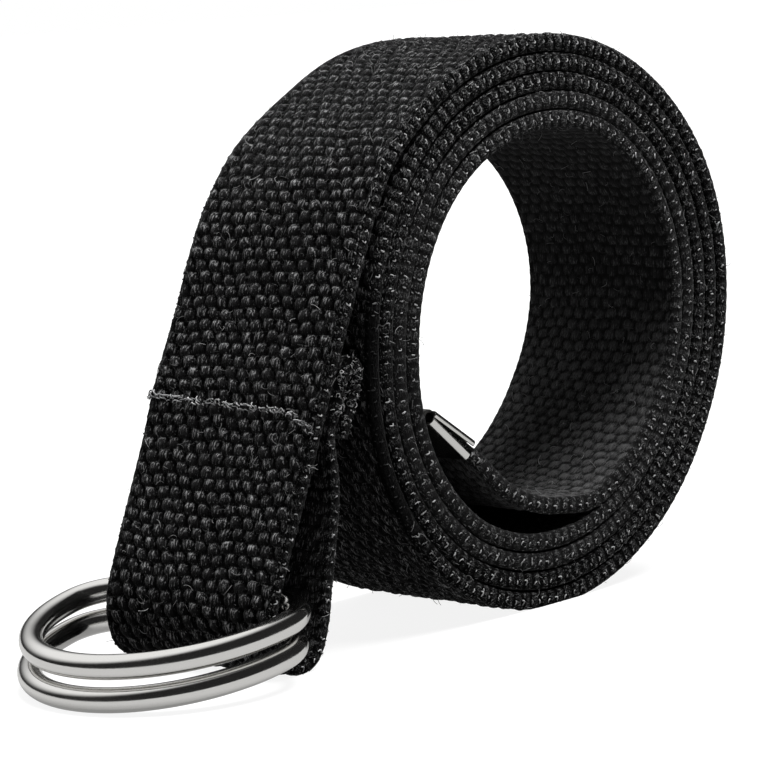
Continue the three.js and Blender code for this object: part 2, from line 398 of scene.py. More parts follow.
def wovenPlace(f):
    # where a point is in the weave: within its bump, and a number of the bump's own
    place = f.attribute("place", 1)
    along, across, depth = (f.part(place, number) for number in range(3))
    side = depth.maths("LESS_THAN", 0.0)
    row = (along / weave["rowPitch"]).maths("ROUND")
    offset = ((row + side) * 0.5).maths("FRACT") * weave["bumpPitch"] + weave["bumpPitch"] / 4
    column = ((across - offset) / weave["bumpPitch"]).maths("ROUND")
    alongBump = along - row * weave["rowPitch"]
    acrossBump = across - offset - column * weave["bumpPitch"]
    cell = f.joined(row, column, side)
    own = f.node("ShaderNodeTexWhiteNoise", {"Vector": cell}, noise_dimensions="3D")
    return along, across, depth, alongBump, acrossBump, own


def clothFinish(name, look):
    f = Finish(name)
    along, across, depth, alongBump, acrossBump, own = wovenPlace(f)
    rim = f.attribute("rim")
    parts = {"base": 1.0, "own": own, "relief": f.attribute("relief"),
             "alongBump": alongBump, "acrossBump": acrossBump}

    def mask(kind):
        return sum(parts[pattern] * weight for pattern, weight in clothMasks[kind].items())

    slanted = across + along * weave["plySlant"]
    for pattern, (lengthwise, crosswise, detail, start) in clothPatterns.items():
        spot = f.joined(along * lengthwise + start, slanted * crosswise, depth * crosswise)
        parts[pattern] = f.noise(spot, 1.0, detail, look["fibreRoughness"])
    turn = (acrossBump + alongBump * weave["plySlant"]) * (2 * math.pi / weave["plyPitch"])
    parts["plies"] = (turn + own * weave["plyPhase"]).maths("SINE") * 0.5 + 0.5
    parts["shape"] = mask("shape").clamp()
    parts["raisedPlies"] = parts["plies"] * parts["shape"]
    body = parts["shape"] * mask("body") * mask("patches")
    # light fibre strokes, partly wear and partly painted highlight, with more of them on a bump's upper
    # side as painted light from above
    lit = mask("lit") + mask("upperSide") * (1 - rim)
    streak = ((lit - look["streakFrom"]) * look["streakGain"]).clamp() * mask("onTop").clamp()
    # painted shade: the gaps between the bumps near black
    colour = f.mix(body.clamp(), look["gap"], look["yarn"])
    colour = f.mix(streak * mask("streakShare"), colour, f.mix(rim, look["streak"], look["speck"]))
    # fine specks where the weft turns at the rims
    specks = f.noise(f.joined(along, across, depth), look["speckScale"], 1.0)
    speckled = ((specks - look["speckFrom"]) * look["speckGain"]).clamp()
    colour = f.mix(speckled * mask("onRows").clamp() * rim, colour, look["speck"])
    if look is innerLitLook:
        # painted light: greyer towards the bottom of the coil
        low = ((paintedLowLight["below"] - f.part(f.objectPlace(), 2)) / paintedLowLight["depth"]).clamp()
        colour = f.mix(low * (1 - rim) * mask("paintedLight").clamp(), colour, paintedLowLight["colour"])
    bump = f.bump(look["bump"], look["bumpDistance"], mask("height"))
    f.set(Roughness=look["roughness"], Specular_IOR_Level=look["specular"], Sheen_Weight=look["sheen"],
          Sheen_Roughness=look["sheenRoughness"], Base_Color=colour, Normal=bump)
    return f.material


# the yarns wander by slow waves: their lengths along and across the webbing, phase and size
wanderWaves = {
    "along": [(4.3, 2.1, 0.0, 1.0), (9.7, -5.3, 1.0, 1.0), (23.0, 1.3, 0.0, 0.6)],
    "across": [(3.1, -3.7, 2.0, 1.0), (7.9, 6.1, 0.0, 1.0), (1.7, 19.0, 0.0, 0.6)],
}
hashTerms = {"row": 12.9898, "column": 78.233, "side": 37.719, "gain": 43758.5453}


def wander(way, s, w):
    waves = wanderWaves[way]
    return weave["wander"] * sum(size * np.sin(s / along + w / across + phase)
                                 for along, across, phase, size in waves)


def scatter(row, column, side):
    # a fixed value from 0 to 1 for each bump
    turn = row * hashTerms["row"] + column * hashTerms["column"] + side * hashTerms["side"]
    value = np.sin(turn) * hashTerms["gain"]
    return value - np.floor(value)


def weaveRelief(s, w, side):
    # from 0 in the gaps to 1 on top of a bump
    best = np.zeros(np.broadcast(s, w).shape)
    inner = side > 0
    halfLong = np.where(inner, weave["innerLong"], weave["halfLong"])
    halfWide = np.where(inner, weave["innerWide"], weave["halfWide"])
    slant = np.where(inner, weave["innerSlant"], weave["slant"])
    nearest = np.round(s / weave["rowPitch"])
    for step in (-1, 0, 1):
        row = nearest + step
        offset = (np.mod(row + side, 2) * 0.5 + 0.25) * weave["bumpPitch"]
        column = np.round((w - offset) / weave["bumpPitch"])
        offset = offset + weave["jitter"] * (scatter(column, row, side + 2) - 0.5)
        ahead = weave["jitter"] * (scatter(column, row, side + 4) - 0.5)
        ds = (s - row * weave["rowPitch"] - ahead) / halfLong
        dw = (w - offset - column * weave["bumpPitch"]) / halfWide + ds * slant
        square = weave["squareness"]
        dome = np.clip(1 - np.abs(dw) ** square - np.abs(ds) ** square, 0, 1) ** weave["roundness"]
        tall = weave["lowest"] + (1 - weave["lowest"]) * scatter(row, column, side)
        best = np.maximum(best, dome * tall)
    return best


def acrossPoints(step):
    # places across a face: even where it shows, and only beside the rims where it doesn't
    edge = webbing["width"] / 2 - rimForm["radius"]
    if step:
        return np.linspace(-edge, edge, int(round(2 * edge / step)) + 1)
    rim = edge - np.array(rimForm["besideRim"])
    return np.concatenate([-rim, rim[::-1]])


def strapOutline(outerStep, innerStep):
    # the section's outline as columns: place across, share of the way round the rim, and side
    edge = webbing["width"] / 2 - rimForm["radius"]
    rounds = (np.arange(rimForm["points"]) + 1) / (rimForm["points"] + 1)
    outer = [(w, 0.0, 1) for w in acrossPoints(outerStep)]
    front = [(edge, share, 0) for share in rounds]
    inner = [(w, 1.0, -1) for w in acrossPoints(innerStep)[::-1]]
    back = [(-edge, 1 - share, 0) for share in rounds]
    return np.array(outer + front + inner + back).T[:, None, :]


# where the bumps change their height: a bare stretch in the tip, then the rows and angles between
# which the outer face gets covered and shows again, and the inner face gets covered
crestPlaces = {
    "bare": 12.0, "blend": 6.0, "covered": (5, 7), "open": (1185, 1200), "inner": (300, 315), "hem": 2.0,
}


def crests(s):
    # how high the bumps stand on the outer and the inner face at each length s
    start = [crestPlaces["bare"], crestPlaces["bare"] + crestPlaces["blend"]]
    opened, covered, inner = weave["openCrest"], weave["coveredCrest"], weave["innerCrest"]
    foldTop = path.atRow(path.firstFoldRow + len(foldedLeg) + foldedEnd["foldParts"] // 2)
    outerPlaces = start + [path.atRow(row) for row in crestPlaces["covered"]]
    outerPlaces += [path.atAngle(angle) for angle in crestPlaces["open"]]
    outerPlaces += [path.atRow(path.firstFoldRow - 1), path.atRow(path.firstFoldRow)]
    outerCrests = [0.0, opened, opened, covered, covered, opened, opened, covered]
    innerPlaces = start + [path.atAngle(angle) for angle in crestPlaces["inner"]]
    innerPlaces += [foldTop, foldTop + crestPlaces["hem"]]
    innerCrests = [0.0, inner, inner, covered, covered, weave["hemCrest"]]
    return np.interp(s, outerPlaces, outerCrests), np.interp(s, innerPlaces, innerCrests)


# painted light and shade: how light the rims are, every 30 degrees round the coil from the right, lighter
# at the top and darker at the left
rimPaintedLight = [0.75, 0.85, 1.3, 1.65, 1.6, 1.3, 0.62, 0.65, 0.9, 0.95, 1.2, 1.1, 0.75]


def rimPaintedLightAt(spots):
    angle = np.degrees(np.arctan2(spots[..., 2] - coil["centreHeight"], spots[..., 0])) % 360
    return np.interp(angle, np.linspace(0, 360, len(rimPaintedLight)), rimPaintedLight)


rimShade = {"angles": (1238, 1252, 1296, 1310), "fold": 0.6, "blend": 2.0}


def shaded(s):
    # where the rims lie in shadow and stay black: beside the sewn fold, and on the fold itself
    fold = path.atRow(path.firstFoldRow)
    beside = [path.atAngle(angle) for angle in rimShade["angles"]]
    places = [*beside, fold, fold + rimShade["blend"]]
    return np.interp(s, places, [0.0, 1.0, 1.0, 0.0, 0.0, rimShade["fold"]])


seamLine = {
    "across": [-19.0, -16.5, -13.5, 19.0], "z": [39.2, 40.6, 42.1, 43.7], "pull": 0.5, "width": 0.9,
}
leg = {"rows": 9, "samples": 400}


def legLength(z):
    # the length at which the leg's middle line is at a height
    ends = [path.atRow(path.firstOuterRow + rows) for rows in (0, leg["rows"])]
    s = np.linspace(*ends, leg["samples"])
    heights = path.sections(s)["place"][:, 2]
    return np.interp(-np.asarray(z, float), -heights, s)


def seamPull(s, w):
    # the seam draws the webbing in along a groove just above its stitches
    at = legLength(np.interp(w, seamLine["across"], seamLine["z"])) - seamLine["width"]
    return seamLine["pull"] * np.exp(-((s - at) / seamLine["width"]) ** 2)


def strapMesh(name, first, last, piece):
    s = np.linspace(first, last, int(round((last - first) / piece["step"])) + 1)[:, None]
    w, share, face = strapOutline(piece["outer"], piece["inner"])
    s = s + np.zeros_like(w)
    w = w + np.zeros_like(s)
    half = path.sections(s[:, 0])["thickness"][:, None] / 2
    wovenS = s + wander("along", s, w)
    wovenW = w + wander("across", s, w)
    relief = weaveRelief(wovenS, wovenW, (share > 0.5).astype(float))
    outerCrest, innerCrest = crests(s[:, 0])
    crest = np.where(face > 0, outerCrest[:, None], innerCrest[:, None])
    trough = np.where(face < 0, weave["innerTrough"], weave["trough"])
    rise = trough + (crest - trough) * relief - seamPull(s, w) * (face > 0)
    # at the rims a row's yarn turns back: one low swelling for each row
    onRim = face == 0
    phase = share * rimForm["skew"] + np.sign(w) * rimForm["offset"]
    swell = np.abs(np.cos(np.pi * wovenS / weave["rowPitch"] + phase))
    turn = share * math.pi
    bulge = np.where(onRim, np.sin(turn), 0.0) ** rimForm["roundness"]
    leaves = path.atRow(path.firstOuterRow)
    proud = np.where(s < leaves, rimForm["coilProud"], rimForm["legProud"])
    outward = np.sign(np.cos(turn)) * np.abs(np.cos(turn)) ** rimForm["fullness"] * (half + proud)
    deep = np.where(onRim, outward, np.sign(face) * (half + rise))
    reach = rimForm["radius"] + rimForm["reach"] + (swell - 1) * rimForm["swell"]
    wide = w + np.sign(w) * bulge * reach
    points = path.points(s, wide, deep)
    woven = np.stack([wovenS, wovenW + wide - w, deep], -1)
    # on the rims the relief sets the colour, and it carries painted light round the coil and painted
    # shadow beside the fold
    rimRelief = rimForm["lowRelief"] + rimForm["relief"] * swell ** 2
    rimRelief = rimRelief * rimPaintedLightAt(points) * (1 - rimForm["shade"] * shaded(s))
    return closedSkin(name, points, {
        "place": woven, "relief": np.where(onRim, rimRelief, relief), "rim": onRim * 1.0 + 0.0 * s})


def newPiece(name, spots, edges=(), faces=()):
    # from places in millimetres in the path's own frame
    mesh = bpy.data.meshes.new(name)
    mesh.from_pydata(((spots + shift) * mm).tolist(), edges, faces)
    return newObject(name, mesh)


def closedSkin(name, grid, attributes):
    # grid is (sections, points round, xyz); both ends get a cap
    rows, count = grid.shape[:2]
    index = np.arange(rows * count).reshape(rows, count)
    a, b = index[:-1], index[1:]
    quads = np.stack([a, np.roll(a, -1, 1), np.roll(b, -1, 1), b], -1).reshape(-1, 4)
    faces = quads.tolist() + [index[0][::-1].tolist(), index[-1].tolist()]
    piece = newPiece(name, grid.reshape(-1, 3), faces=faces)
    mesh = piece.data
    smooth = np.ones(len(faces), bool)
    smooth[-2:] = False
    mesh.polygons.foreach_set("use_smooth", smooth)
    sharpenEnds(mesh, count, rows)
    addAttributes(mesh, attributes)
    mesh.validate()
    return piece


def sharpenEnds(mesh, count, rows):
    # the edges round both caps are sharp, so that the caps don't shade the cloth
    ends = np.zeros(len(mesh.edges) * 2, np.int32)
    mesh.edges.foreach_get("vertices", ends)
    ends = ends.reshape(-1, 2)
    first = (ends < count).all(1)
    last = (ends >= (rows - 1) * count).all(1)
    layer = mesh.attributes.new("sharp_edge", "BOOLEAN", "EDGE")
    layer.data.foreach_set("value", first | last)


def addAttributes(mesh, attributes):
    for key, values in attributes.items():
        flat = values.reshape(len(mesh.vertices), -1).astype(np.float32)
        vector = flat.shape[1] == 3
        layer = mesh.attributes.new(key, "FLOAT_VECTOR" if vector else "FLOAT", "POINT")
        layer.data.foreach_set("vector" if vector else "value", flat.ravel())


def finishPiece(piece, material, body, node=None):
    piece.data.materials.clear()
    piece.data.materials.append(material)
    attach(piece, body)
    if node:
        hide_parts(node)
    print(piece.name, sum(len(p.vertices) - 2 for p in piece.data.polygons), "triangles")


# where each stretch of the strap ends, as an angle round the coil; steps along and across its faces; and
# whether it takes the copy of the cloth with painted light
strapPieces = {
    "inner_end": {"to": -60, "step": 0.43, "outer": 0.6, "inner": 0.417, "paintedLightCopy": True},
    "inner_turn": {"to": 300, "step": 0.43, "outer": 0, "inner": 0.417, "paintedLightCopy": True},
    "second_turn": {"to": 660, "step": 0.5375, "outer": 0, "inner": 0.6, "paintedLightCopy": True},
    "middle_turns": {"to": 1200, "step": 0.5375, "outer": 0, "inner": 0, "paintedLightCopy": False},
    "outer_turn": {"to": 1440, "step": 0.43, "outer": 0.417, "inner": 0, "paintedLightCopy": False},
    "leg_and_loop": {"to": None, "step": 0.43, "outer": 0.417, "inner": 0.95, "paintedLightCopy": False},
}


# Geometry Nodes: threads of a few shapes, strewn on points that know which way they face

class Growth(Nodes):
    # a tree that turns points into threads or a line into a wire, with named inputs
    def __init__(self, name):
        super().__init__(bpy.data.node_groups.new(name, "GeometryNodeTree"))
        for way in ("INPUT", "OUTPUT"):
            self.tree.interface.new_socket("Geometry", in_out=way, socket_type="NodeSocketGeometry")
        self.inside = self.tree.nodes.new("NodeGroupInput")
        self.outside = self.tree.nodes.new("NodeGroupOutput")
        self.identifiers = {}

    def input(self, name, kind="Float"):
        socket = self.tree.interface.new_socket(name, in_out="INPUT", socket_type="NodeSocket" + kind)
        self.identifiers[name] = socket.identifier
        return Value(self.inside.outputs[name])

    def points(self):
        return Value(self.inside.outputs["Geometry"])

    def attribute(self, name, kind):
        return self.node("GeometryNodeInputNamedAttribute", {"Name": name}, data_type=kind)

    def finish(self, geometry, material):
        real = self.node("GeometryNodeRealizeInstances", {0: geometry})
        done = self.node("GeometryNodeSetMaterial", {"Geometry": real, "Material": material})
        feed(self.outside.inputs[0], done)

    def apply(self, base, values):
        # the grown mesh, plain, on the base's object
        modifier = base.modifiers.new("growth", "NODES")
        modifier.node_group = self.tree
        for name, value in values.items():
            modifier[self.identifiers[name]] = value
        evaluated = base.evaluated_get(bpy.context.evaluated_depsgraph_get())
        mesh = bpy.data.meshes.new_from_object(evaluated)
        base.modifiers.clear()
        old = base.data
        base.data = mesh
        bpy.data.meshes.remove(old)
        mesh.name = base.name
        return base


def threadTree(name, look, material):
    # the shapes are bent threads in millimetres; each point's kind says which of them it gets
    g = Growth(name)
    labels = ("Thread Radius", "Scale", "Size Variation", "Tilt", "Turn")
    radius, scale, vary, tilt, turn = (g.input(label) for label in labels)
    seed = g.input("Seed", "Int")
    outward, along = (g.attribute(way, "FLOAT_VECTOR") for way in ("outward", "along"))
    axes = g.node("FunctionNodeAxesToRotation", {0: outward, 1: along},
                  primary_axis="Z", secondary_axis="X")
    swing = g.joined(tilt, tilt, turn)
    back = g.node("ShaderNodeVectorMath", {0: swing, "Scale": -1.0}, operation="SCALE")
    swung = g.node("FunctionNodeRandomValue", {0: back, 1: swing, "Seed": seed}, data_type="FLOAT_VECTOR")
    swung = g.node("FunctionNodeEulerToRotation", {0: swung})
    turned = g.node("FunctionNodeRotateRotation", {0: axes, 1: swung}, rotation_space="LOCAL")
    size = g.node("FunctionNodeRandomValue", {
        2: scale * (1 - vary), 3: scale * (1 + vary), "Seed": seed + 1}, 1, data_type="FLOAT")
    kind = g.attribute("kind", "FLOAT")
    together = g.tree.nodes.new("GeometryNodeJoinGeometry")
    for number, shape in enumerate(look["shapes"]):
        profile = g.node("GeometryNodeCurvePrimitiveCircle", {
            "Resolution": look["sides"], "Radius": radius * shape.get("thick", 1.0)})
        thread = g.node("GeometryNodeCurveToMesh", {
            0: threadLine(g, shape), 1: profile, "Fill Caps": True})
        smooth = g.node("GeometryNodeSetShadeSmooth", {0: thread})
        chosen = (kind - number).maths("ABSOLUTE").maths("LESS_THAN", 0.5)
        strewn = g.node("GeometryNodeInstanceOnPoints", {
            0: g.points(), 1: chosen, 2: smooth, 5: turned, 6: size})
        feed(together.inputs[0], strewn)
    g.finish(Value(together.outputs[0]), material)
    return g


curl = {"parts": 10, "narrowing": 0.85}


def threadLine(g, shape):
    if "ring" in shape:
        return g.node("GeometryNodeCurveSpiral", {
            "Resolution": curl["parts"], "Rotations": shape["turns"], "Start Radius": shape["ring"],
            "End Radius": shape["ring"] * curl["narrowing"], "Height": shape["rise"]})
    start, middle, stop = shape["bend"]
    return g.node("GeometryNodeCurveQuadraticBezier", {
        "Resolution": shape["parts"], "Start": start, "Middle": middle, "End": stop})


def threadPoints(chance, look, cut, spots, outward, light=1.0):
    # where threads grow, which way they face, which shape each one gets and how light it is
    kind = chance.choice(look["kinds"], len(spots)).astype(float)
    return {"spots": spots, "outward": outward, "along": cut["along"], "kind": kind,
            "light": chance.uniform(*look["light"], len(spots)) * light}


def joinPoints(groups):
    return {key: np.concatenate([group[key] for group in groups]) for key in groups[0]}


def growThreads(name, look, points, material):
    base = newPiece(name, points.pop("spots"))
    addAttributes(base.data, points)
    piece = threadTree(name, look, material).apply(base, {
        "Thread Radius": look["threadRadius"], "Scale": mm, "Size Variation": look["sizeVariation"],
        "Tilt": look["tilt"], "Turn": look["turn"], "Seed": look["seed"]})
    finishPiece(piece, material, "belt")
    return piece


# The rims: where the weft turns back, one light bar across each row, with finer knots and threads

rimYarn = {
    "threadRadius": 0.125, "sizeVariation": 0.25, "tilt": 0.22, "turn": 0.4, "sides": 4, "seed": 7,
    "reach": 18.98, "lowered": 0.3, "fan": 0.8, "drift": 0.12, "rowShift": 0.25, "backLight": 0.3,
    "shade": 0.95, "ringClear": (27.0, 38.0), "clearFrom": 0.7,
    "shapes": [
        {"parts": 3, "bend": ((0.02, -0.36, -0.12), (0.12, 0, 0.26), (-0.03, 0.36, -0.12))},
        {"parts": 4, "bend": ((-0.34, 0.3, -0.06), (0.34, 0.5, 0.3), (0.04, -0.5, -0.1)), "thick": 0.95},
        {"parts": 4, "bend": ((0.3, 0.26, -0.06), (-0.24, 0.44, 0.3), (0, -0.45, -0.1)), "thick": 0.8},
        {"ring": 0.24, "turns": 0.72, "rise": 0.12, "thick": 0.6},
        {"parts": 2, "bend": ((-0.32, 0, -0.08), (0, 0.12, 0.18), (0.32, 0.04, -0.08)), "thick": 0.65},
        {"parts": 3, "bend": ((-1.05, 0, -0.06), (0, 0.16, 0.14), (1.05, -0.05, -0.06)), "thick": 0.5},
        {"parts": 2, "bend": ((-0.12, -0.14, -0.08), (0, 0, 0.2), (0.12, 0.14, -0.08)), "thick": 0.9},
    ],
}
# place across the rim as a share of half the thickness, share of a row ahead, kinds, lightness
rimLanes = [
    {"place": 0.15, "ahead": 0.0, "kinds": (0, 1, 2), "light": (0.5, 1.7)},
    {"place": -0.35, "ahead": 0.15, "kinds": (6, 4, 0), "light": (0.0, 0.9)},
    {"place": 0.6, "ahead": 0.5, "kinds": (3, 4, 6), "light": (0.0, 0.6)},
    {"place": -0.7, "ahead": 0.5, "kinds": (3, 4, 6), "light": (0.0, 0.6)},
    {"place": 0.95, "ahead": 0.5, "kinds": (4, 6), "light": (0.1, 0.8)},
    {"place": 0.92, "ahead": 0.0, "kinds": (4, 5, 6), "light": (0.1, 0.6)},
]
yarnLook = {
    "dark": (0.005, 0.005, 0.0051, 1), "light": (0.33, 0.33, 0.333, 1), "roughness": 0.8,
    "specular": 0.02, "sheen": 0.01, "patchScale": 300.0, "patchLow": 0.3, "patchGain": 1.3,
    "grainScale": 4200.0, "grainGain": 0.4, "bump": 0.6, "bumpDistance": 0.0001,
}


def yarnFinish(name, look):
    f = Finish(name)
    patch = f.noise(f.objectPlace(), look["patchScale"], detail=2.0)
    grain = f.noise(f.objectPlace(), look["grainScale"], detail=2.0)
    # the light attribute carries painted light and shadow on the rim yarn, and a random tone elsewhere
    share = f.attribute("light") * (look["patchLow"] + patch * look["patchGain"])
    share = (share + (grain - 0.5) * look["grainGain"]).clamp()
    f.set(Base_Color=f.mix(share, look["dark"], look["light"]), Roughness=look["roughness"],
          Specular_IOR_Level=look["specular"], Sheen_Weight=look["sheen"],
          Normal=f.bump(look["bump"], look["bumpDistance"], grain))
    return f.material


def rimPoints(first, last):
    chance = np.random.default_rng(rimYarn["seed"])
    rows = np.arange(math.ceil(first / weave["rowPitch"]), math.floor(last / weave["rowPitch"]) + 1)
    count = len(rows)
    drift = rimYarn["drift"]
    low, high = rimYarn["ringClear"]
    groups = []
    for rim in (-1, 1):
        for lane in rimLanes:
            ahead = rimYarn["rowShift"] * rim + lane["ahead"] + chance.uniform(-drift, drift, count)
            s = np.clip((rows + ahead) * weave["rowPitch"], first, last)
            cut = path.sections(s)
            place = lane["place"] + chance.uniform(-drift, drift, count)
            reach = rimYarn["reach"] - rimYarn["lowered"] * place ** 2
            spots = path.points(s, rim * reach, place * cut["thickness"] / 2)
            outward = cut["across"] * rim + cut["outward"] * rimYarn["fan"] * place[:, None]
            # painted light round the coil, painted shadow beside the fold, and a darker back rim
            paintedLight = rimPaintedLightAt(spots) * (1 - rimYarn["shade"] * shaded(s))
            paintedLight = paintedLight * (1.0 if rim < 0 else rimYarn["backLight"])
            group = threadPoints(chance, lane, cut, spots, outward, paintedLight)
            # bare where the swung ring comes to rest against the leg
            onLeg = (s > path.atRow(path.firstOuterRow)) & (place > rimYarn["clearFrom"])
            bare = onLeg & (spots[:, 2] > low) & (spots[:, 2] < high)
            groups.append({key: values[~bare] for key, values in group.items()})
    return joinPoints(groups)


cloth = clothFinish("black_cotton_webbing", clothLook)
# the cloth's copy with painted light, for the inner turns
innerLitCloth = clothFinish("black_cotton_webbing_smoother", innerLitLook)
yarn = yarnFinish("worn_cotton_yarn", yarnLook)


def makeStrap():
    first = 0.0
    for name, piece in strapPieces.items():
        last = path.total() if piece["to"] is None else path.atAngle(piece["to"])
        web = strapMesh("webbing_" + name, first, last, piece)
        finishPiece(web, innerLitCloth if piece["paintedLightCopy"] else cloth, "belt", "strap")
        rims = growThreads("rim_yarn_" + name, rimYarn, rimPoints(first, last), yarn)
        (last - first) * mm
        first = last


makeStrap()


# Stray fibres: thin, curved and light, on the faces that show and past the rims

fibres = {
    "count": 2000, "threadRadius": 0.032, "sizeVariation": 0.55, "tilt": 0.8, "turn": 3.1, "sides": 3,
    "seed": 21, "outerFrom": 1205, "innerTo": 290, "innerRow": 4, "rimRow": 1, "outerShare": 0.68,
    "rimShare": 0.2, "frontShare": 0.6, "reach": 18.3, "sunk": 0.1, "overFloor": 1.6,
    "kinds": (0, 1, 2), "light": (0.15, 0.8),
    "shapes": [
        {"parts": 5, "bend": ((-0.7, 0, -0.1), (0, 0.4, 0.6), (0.75, -0.1, 0.1))},
        {"parts": 5, "bend": ((-0.5, 0, -0.1), (0.4, 0.6, 0.35), (0.1, 0.9, 0.55))},
        {"parts": 5, "bend": ((0, 0, -0.1), (0.6, 0.3, 0.3), (0.4, -0.4, 1.0))},
    ],
}


def fibrePoints():
    # on the outer face from the last turn on, on the inner face of the first turn, and at the rims
    chance = np.random.default_rng(fibres["seed"])
    count = fibres["count"]
    outer = chance.uniform(path.atAngle(fibres["outerFrom"]), path.atRow(path.firstFoldRow), count)
    inner = chance.uniform(path.atRow(fibres["innerRow"]), path.atAngle(fibres["innerTo"]), count)
    onOuter = chance.random(count) < fibres["outerShare"]
    onRim = chance.random(count) < fibres["rimShare"]
    anywhere = chance.uniform(path.atRow(fibres["rimRow"]), path.total(), count)
    s = np.where(onRim, anywhere, np.where(onOuter, outer, inner))
    cut = path.sections(s)
    rim = np.sign(chance.random(count) - fibres["frontShare"])
    inside = chance.uniform(-fibres["reach"], fibres["reach"], count)
    w = np.where(onRim, rim * webbing["width"] / 2, inside)
    side = np.where(onOuter, 1.0, -1.0)
    half = cut["thickness"] / 2
    raised = weave["openCrest"] / 2 - fibres["sunk"]
    deep = np.where(onRim, chance.uniform(-1, 1, count) * half, side * (half + raised))
    outward = np.where(onRim[:, None], cut["across"] * rim[:, None], cut["outward"] * side[:, None])
    strewn = threadPoints(chance, fibres, cut, path.points(s, w, deep), outward)
    high = strewn["spots"][:, 2] > coil["floor"] + fibres["overFloor"]
    return {key: values[high] for key, values in strewn.items()}


growThreads("stray_fibres", fibres, fibrePoints(), yarn)


# The seam across the leg: two rows of uneven stitches that turn down at the front rim

seam = {
    "pitch": 0.85, "lanes": (-0.25, 0.35), "inset": 0.3, "height": 0.3, "jitter": 0.25, "kept": 0.9,
    "threadRadius": 0.11, "sizeVariation": 0.35, "tilt": 0.3, "turn": 0.4, "sides": 5, "seed": 5,
    "kinds": (0, 0, 1, 2, 3), "light": (0.3, 1.0), "frontLight": 0.5,
    "shapes": [
        {"parts": 4, "bend": ((0, -0.55, -0.25), (0.12, 0, 0.45), (-0.05, 0.55, -0.25))},
        {"parts": 4, "bend": ((0.12, -0.5, -0.2), (-0.2, 0, 0.45), (0.1, 0.5, -0.2)), "thick": 0.8},
        {"parts": 4, "bend": ((-0.3, -0.35, -0.2), (0.1, 0.1, 0.6), (0.3, 0.3, -0.2)), "thick": 0.7},
        {"ring": 0.3, "turns": 0.8, "rise": 0.2, "thick": 0.6},
    ],
}
threadLook = dict(yarnLook, dark=(0.05, 0.05, 0.052, 1), light=(0.42, 0.42, 0.425, 1))


def seamPoints():
    chance = np.random.default_rng(seam["seed"])
    edge = webbing["width"] / 2
    places = np.arange(-edge + seam["inset"], edge, seam["pitch"])
    groups = []
    for lane in seam["lanes"]:
        w = places[chance.random(len(places)) < seam["kept"]]
        count = len(w)
        w = w + chance.uniform(-1, 1, count) * seam["jitter"]
        z = np.interp(w, seamLine["across"], seamLine["z"])
        s = legLength(z) + lane + chance.uniform(-1, 1, count) * seam["jitter"]
        cut = path.sections(s)
        spots = path.points(s, w, cut["thickness"] / 2 + seam["height"])
        dimmed = np.where(w < seamLine["across"][2], seam["frontLight"], 1.0)
        groups.append(threadPoints(chance, seam, cut, spots, cut["outward"], dimmed))
    return joinPoints(groups)


seamThread = yarnFinish("seam_thread", threadLook)
growThreads("seam_stitches", seam, seamPoints(), seamThread)


# The hem: curled yarn at the front of the fold, and a tuft at the seam's back end

hem = {
    "count": 170, "threadRadius": 0.055, "sizeVariation": 0.4, "tilt": 1.2, "turn": 3.1, "sides": 4,
    "seed": 11, "depth": 1.1, "over": 1.1, "kinds": (0, 1, 2), "light": (0.1, 1.3),
    "shapes": [
        {"ring": 0.32, "turns": 0.9, "rise": 0.3},
        {"ring": 0.22, "turns": 1.2, "rise": 0.35},
        {"parts": 4, "bend": ((-0.4, 0, -0.1), (0.1, 0.5, 0.45), (0.35, -0.2, 0.1))},
    ],
}
tuft = {
    "count": 14, "along": (-0.7, 0.5), "across": (-0.6, 0.1), "proud": (-0.1, 0.7), "kinds": (0, 1, 2),
    "light": (0.0, 0.4),
}


def hemPoints():
    chance = np.random.default_rng(hem["seed"])
    count = hem["count"]
    s = chance.uniform(path.atRow(path.firstFoldRow + 1), path.total(), count)
    cut = path.sections(s)
    w = -webbing["width"] / 2 + chance.random(count) ** 2 * hem["depth"]
    deep = chance.uniform(-hem["over"], hem["over"], count) * cut["thickness"] / 2
    fold = threadPoints(chance, hem, cut, path.points(s, w, deep), -cut["across"])
    count = tuft["count"]
    s = legLength(np.full(count, seamLine["z"][-1])) + chance.uniform(*tuft["along"], count)
    cut = path.sections(s)
    w = webbing["width"] / 2 + chance.uniform(*tuft["across"], count)
    deep = cut["thickness"] / 2 + chance.uniform(*tuft["proud"], count)
    end = threadPoints(chance, tuft, cut, path.points(s, w, deep), cut["outward"] + cut["across"])
    return joinPoints([fold, end])


growThreads("hem_curls", hem, hemPoints(), yarn)


# The D-rings: round wire bent to a D

ring = {
    "wire": 4.2, "halfWidth": 24.6, "depth": 32.8, "corner": 8.3, "droop": 8.0, "sides": 36,
    "barParts": 12, "cornerParts": 15, "bowParts": 96,
}
bars = {"d_ring_upper": (-67.0, 19.6, 11.7), "d_ring_lower": (-67.6, 20.0, 6.35)}
# the fold colour is painted shade, dark where the folded sheet lies in shadow
metalLook = {
    "ring": (0.77, 0.762, 0.74, 1), "ringRoughness": 0.16, "tip": (0.72, 0.712, 0.69, 1),
    "tipRoughness": 0.2, "fold": (0.1, 0.098, 0.094, 1), "foldRoughness": 0.4,
    "smearScale": 90.0, "smear": 0.26, "smearHeight": 0.7, "grainScale": 1500.0, "grain": 0.05,
    "grainHeight": 0.3, "bump": 0.1, "bumpDistance": 0.0001,
}


